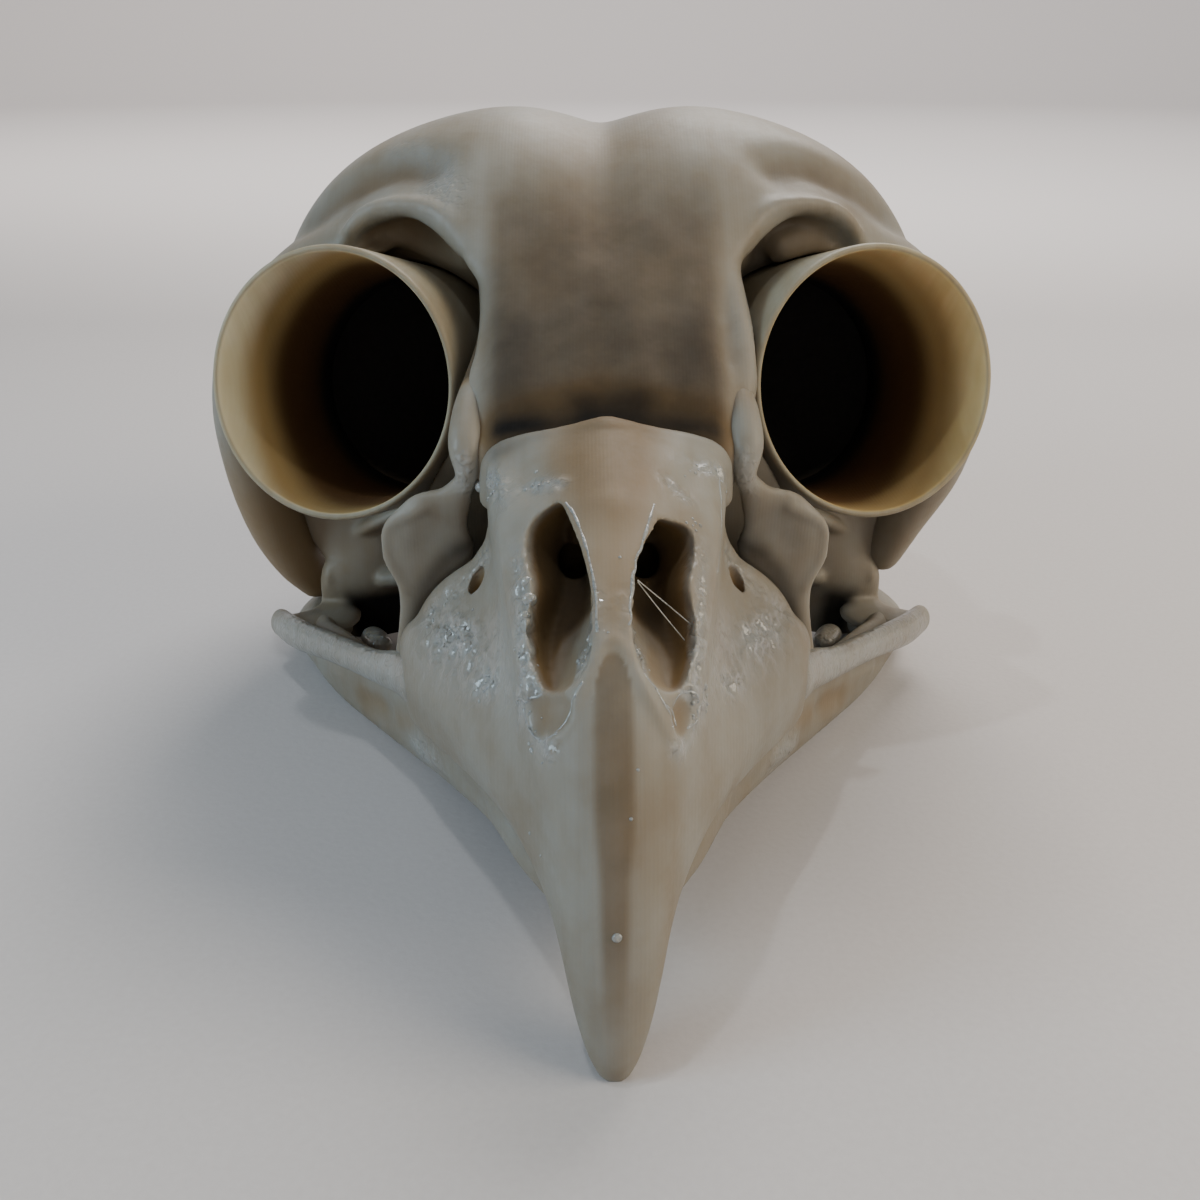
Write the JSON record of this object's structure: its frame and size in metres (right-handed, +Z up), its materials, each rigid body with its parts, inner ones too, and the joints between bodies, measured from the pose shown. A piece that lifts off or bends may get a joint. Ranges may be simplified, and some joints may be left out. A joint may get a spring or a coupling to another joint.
{
  "type": "owl skull replica",
  "caption": "Life-size printed plastic replica of a large owl's skull, jaw closed and bony eye tubes in place, resting on the bill's tip and the lower jaw.",
  "frame": {"origin": "on the table, under the middle of the skull's bounding box", "axes": "+Z up, -Y along the bill, +X to the skull's left"},
  "size_m": [0.0736, 0.095, 0.0535],
  "materials": {
    "bone_plastic": "warm grey, slightly translucent, with fine layer lines and glossy nodules",
    "eye_tube_plastic": "thin wall of the same plastic, amber where light comes through"
  },
  "bodies": {
    "root": {"braincase": "bone_plastic", "forehead": "bone_plastic", "bill": "bone_plastic", "rostrum": "bone_plastic", "eye_tube_left": "eye_tube_plastic", "eye_tube_right": "eye_tube_plastic", "lacrimal_left": "bone_plastic", "lacrimal_right": "bone_plastic", "jugal_left": "bone_plastic", "jugal_right": "bone_plastic", "quadrate_left": "bone_plastic", "quadrate_right": "bone_plastic", "pterygoid_left": "bone_plastic", "pterygoid_right": "bone_plastic", "palatine_left": "bone_plastic", "palatine_right": "bone_plastic", "jaw_left": "bone_plastic", "jaw_right": "bone_plastic"}
  },
  "joints": []
}
